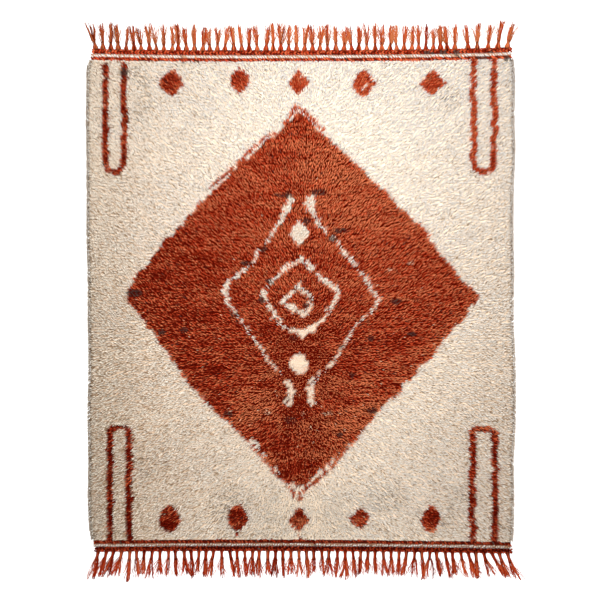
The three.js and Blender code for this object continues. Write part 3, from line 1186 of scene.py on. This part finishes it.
def plan_tassels(fringe, draw):
    """What each tassel of a fringe is like, in columns with one entry a tassel."""
    foot = tassel_feet(fringe)
    count = len(foot)
    corner = ramp(np.abs(foot / mm), fringe["lean_from"], fringe["lean_full"])
    lean = corner * np.where(foot < 0, fringe["lean_left"], fringe["lean_right"]) * mm
    locks = draw.choice([1, 2, 3], count, p=fringe["locks"])
    fullness = draw.uniform(fringe["emptiest"], fringe["fullest"], count)
    fullness = np.maximum(fullness, corner_fullness * corner)
    yarns = np.round(fringe["yarns"] * fullness).astype(int)
    left_light = np.interp(foot, [foot[0], left_light_reach * foot[0]], [fringe["left_light"], 1])
    return dict(
        foot=foot + foot_stray * draw.standard_normal(count),
        lean=lean + fringe["lean_stray"] * mm * draw.standard_normal(count),
        length=fringe["length"] * mm * uneven(draw, length_stray, count),
        size=smallest_knot + knot_growth * fullness,
        yarns=yarns,
        wisps=draw.poisson(fringe["wisps"], count),
        locks=locks,
        lock_lean=fringe["lock_stray"] * mm * draw.standard_normal((count, 3)),
        lock_bend=draw.uniform(*bend_range, (count, 3)),
        bundle=bundle_looseness * yarn_kind["radius"] * mm * np.sqrt(yarns / locks),
        spread=fringe["spread"] * mm * draw.uniform(*spread_range, count),
        tone=draw.normal(fringe["tone"], tone_stray, count),
        light=fringe["light"] * left_light,
    )


def out_from(heading_middle, side, x, out):
    """The y of a place so far out from a heading cord."""
    return np.interp(x, end_stations, heading_middle) + side * (heading_half + out)


def lean_at(tassels, owner, out):
    """How far sideways a tassel has leant so far out from the heading cord."""
    share = np.clip(out / tassels["length"][owner, None], 0, lean_limit)
    return tassels["lean"][owner, None] * share ** lean_bend


def loop_row(fringe, middle, draw):
    """The row of loops that holds the tassels, close along the heading cord."""
    low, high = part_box(fringe["heading"])
    x = evenly(low[0] + loop_inset, high[0] - loop_inset, loop_pitch)
    y = out_from(middle, fringe["side"], x, loop_row_out)
    spines, radii = stitch_row(
        x, y, fringe["side"] * loop_slant, loop_length, loop_radius, heading_base, heading_lift, draw,
    )
    color = loop_light * fringe["light"] * stitch_shades(fringe["tone"] + loop_tone, len(x), draw)
    return spines, radii, color[:, None] * stitch_shade[:, None]


def knot_bulbs(fringe, tassels, middle):
    """The flattened core of every knot."""
    out, half = np.array(fringe["bulb"]).T * mm
    foot = tassels["foot"][:, None]
    size = tassels["size"][:, None]
    y = out_from(middle, fringe["side"], foot, out * size)
    x = foot + lean_at(tassels, np.arange(len(foot)), out * size)
    spines = np.stack([x, y, np.full(y.shape, bulb_height)], axis=-1)
    # The cores are painted with the side yarns' shade
    color = side_wrap_light * tassels["light"][:, None] * terracotta_shade(tassels["tone"])
    color = color * np.array(fringe["tint"])
    colors = color[:, None] * np.array(fringe["bulb_shade"])[:, None]
    return spines, half[1:-1] * size, colors


def knot_wraps(fringe, tassels, middle, draw):
    """The yarns that run over every knot, side by side across its upper half."""
    owner = np.repeat(np.arange(len(tassels["foot"])), wraps)
    angle = np.tile((np.arange(wraps) + 0.5) / wraps * math.pi, len(tassels["foot"]))
    angle = (angle + wrap_stray * draw.standard_normal(len(owner)))[:, None]
    out, half = np.array(fringe["bulb"]).T * mm
    size = tassels["size"][owner, None]
    foot = tassels["foot"][owner, None]
    x = foot + lean_at(tassels, owner, out * size) + np.cos(angle) * half * size * wrap_reach
    y = out_from(middle, fringe["side"], foot, out * size)
    z = bulb_height + np.sin(angle) * half * size * bulb_flatness
    light = tassels["light"][owner, None] * np.where(np.sin(angle) < side_wraps, side_wrap_light, 1)
    color = terracotta_shade(draw.normal(tassels["tone"][owner], yarn_contrast))
    color = light * color * np.array(fringe["tint"])
    colors = color[:, None] * np.array(fringe["bulb_shade"])[:, None]
    radii = np.full((len(owner), len(out) - 2), wrap_radius)
    return np.stack([x, y, z], axis=-1), radii, np.clip(colors, 0, 1)


def loose_yarns(fringe, tassels, middle, draw, number, kind):
    """The yarns of one kind that leave the knots in their locks, so many a tassel."""
    owner = np.repeat(np.arange(len(number)), number)
    many = len(owner)
    foot = tassels["foot"][owner, None]
    bundle = tassels["bundle"][owner, None]
    locks = tassels["locks"][owner]
    lock = np.floor(draw.random(many) * locks).astype(int)
    aside = (lock - (locks - 1) / 2) * tassels["spread"][owner] + tassels["lock_lean"][owner, lock]
    aside = aside + kind["stray"] * mm * draw.standard_normal(many)
    share = free_levels
    turn = sway_turn * share + draw.uniform(0, math.tau, (many, 1))
    sway = kind["sway"] * mm * np.sin(turn) * share
    half = fringe["neck"] * mm * (1 - share) + bundle * share ** bundle_opening
    bend = tassels["lock_bend"][owner, lock][:, None] * draw.uniform(*fan_range, (many, 1))
    across = draw.uniform(-1, 1, (many, 1)) * half
    x = foot + across + aside[:, None] * share ** bend + sway
    start = fringe["bulb"][start_row][0] * mm
    reach = tassels["length"][owner, None] * draw.uniform(kind["shortest"], 1, (many, 1))
    out = start + (reach - start) * share
    x = x + kind["lean"] * lean_at(tassels, owner, out)
    y = out_from(middle, fringe["side"], foot, out)
    radius = kind["radius"] * mm * uneven(draw, free_radius_stray, (many, 1))
    level = np.interp(share, free_heights["share"], free_heights["height"]) * mm
    z = level + draw.uniform(*stack_range, (many, 1)) * bundle
    z = np.maximum(z, radius + floor_gap)
    color = terracotta_shade(draw.normal(tassels["tone"][owner], yarn_contrast))
    color = blend(color, orange_wool, np.full(many, fringe["orange"] * kind["is_wisp"]))
    color = tassels["light"][owner, None] * color * np.array(fringe["tint"])
    root_shade = np.interp(share, [0, root_shade_reach], [fringe["root_light"], 1])
    colors = np.clip(color[:, None] * root_shade[:, None], 0, 1)
    return np.stack([x, y, z], axis=-1), radius * free_taper, colors


def knot_fringe(fringe, seed):
    """A fringe in four pieces: loops, the cores of the knots, the yarn over them and the loose yarn."""
    draw = np.random.default_rng(seed)
    middle = node_middle(fringe["heading"])
    tassels = plan_tassels(fringe, draw)
    yarns = loose_yarns(fringe, tassels, middle, draw, tassels["yarns"], yarn_kind)
    wisps = loose_yarns(fringe, tassels, middle, draw, tassels["wisps"], wisp_kind)
    plan = [
        ("loops", [loop_row(fringe, middle, draw)], 6, 1.0),
        ("cores", [knot_bulbs(fringe, tassels, middle)], 8, bulb_flatness),
        ("knots", [knot_wraps(fringe, tassels, middle, draw)], 4, 1.0),
        ("ends", [yarns, wisps], 4, 1.0),
    ]
    pieces = []
    for number, (part, rows, sides, flatness) in enumerate(plan):
        name = f"{fringe['name']}_{part}"
        pieces.append(finish_yarn(
            name, rows, sides, fringe["node"], seed + number, flatness,
        ))
    return pieces


fringes = knot_fringe(upper_fringe, 101) + knot_fringe(lower_fringe, 111)


# Floor, light and camera
# The rug is seen straight from above on a plain white floor, under soft studio light.

camera_height = 5.0
reference_height = 12 * mm
photo_span = 600 * 3.513 * mm
sensor_width = 36
camera_x = -3.5 * mm
camera_y = -1.8 * mm
floor_reach = 12
floor_drop = 0.2 * mm
floor_tone = 0.45
floor_glow = 0.88
sky_color = (1, 0.95, 0.89, 1)
sky_strength = 0.48


def lay_floor():
    mesh = bpy.data.meshes.new("studio_floor")
    corners = [(-1, -1), (1, -1), (1, 1), (-1, 1)]
    corners = [(floor_reach * x, floor_reach * y, 0) for x, y in corners]
    mesh.from_pydata(corners, [], [(0, 1, 2, 3)])
    floor = bpy.data.objects.new("studio_floor", mesh)
    bpy.context.scene.collection.objects.link(floor)
    material = bpy.data.materials.new("floor_white")
    material.use_nodes = True
    set_inputs(material.node_tree.nodes["Principled BSDF"], {
        "Base Color": (floor_tone, floor_tone, floor_tone, 1),
        "Roughness": 1,
        "Specular IOR Level": 0,
        "Emission Color": (1, 1, 1, 1),
        "Emission Strength": floor_glow,
    })
    mesh.materials.append(material)
    floor.location.z = -floor_drop


def hang_light(name, place, target, size, power):
    light = bpy.data.lights.new(name, "AREA")
    light.shape = "DISK"
    light.size = size
    light.energy = power
    lamp = bpy.data.objects.new(name, light)
    lamp.location = place
    lamp.rotation_euler = (Vector(target) - Vector(place)).to_track_quat("-Z", "Y").to_euler()
    bpy.context.scene.collection.objects.link(lamp)


def place_camera():
    camera = bpy.data.cameras.new("camera")
    camera.sensor_width = sensor_width
    camera.lens = sensor_width * (camera_height - reference_height) / photo_span
    viewer = bpy.data.objects.new("camera", camera)
    viewer.location = (camera_x, camera_y, camera_height)
    bpy.context.scene.collection.objects.link(viewer)
    bpy.context.scene.camera = viewer


lay_floor()
hang_light("key_light", (-0.05, 0.33, 3.0), (-0.03, 0.1, 0), 1.2, 147)
world = bpy.data.worlds.new("studio")
world.use_nodes = True
set_inputs(world.node_tree.nodes["Background"], {"Color": sky_color, "Strength": sky_strength})
bpy.context.scene.world = world
bpy.context.scene.view_settings.view_transform = "Standard"
place_camera()
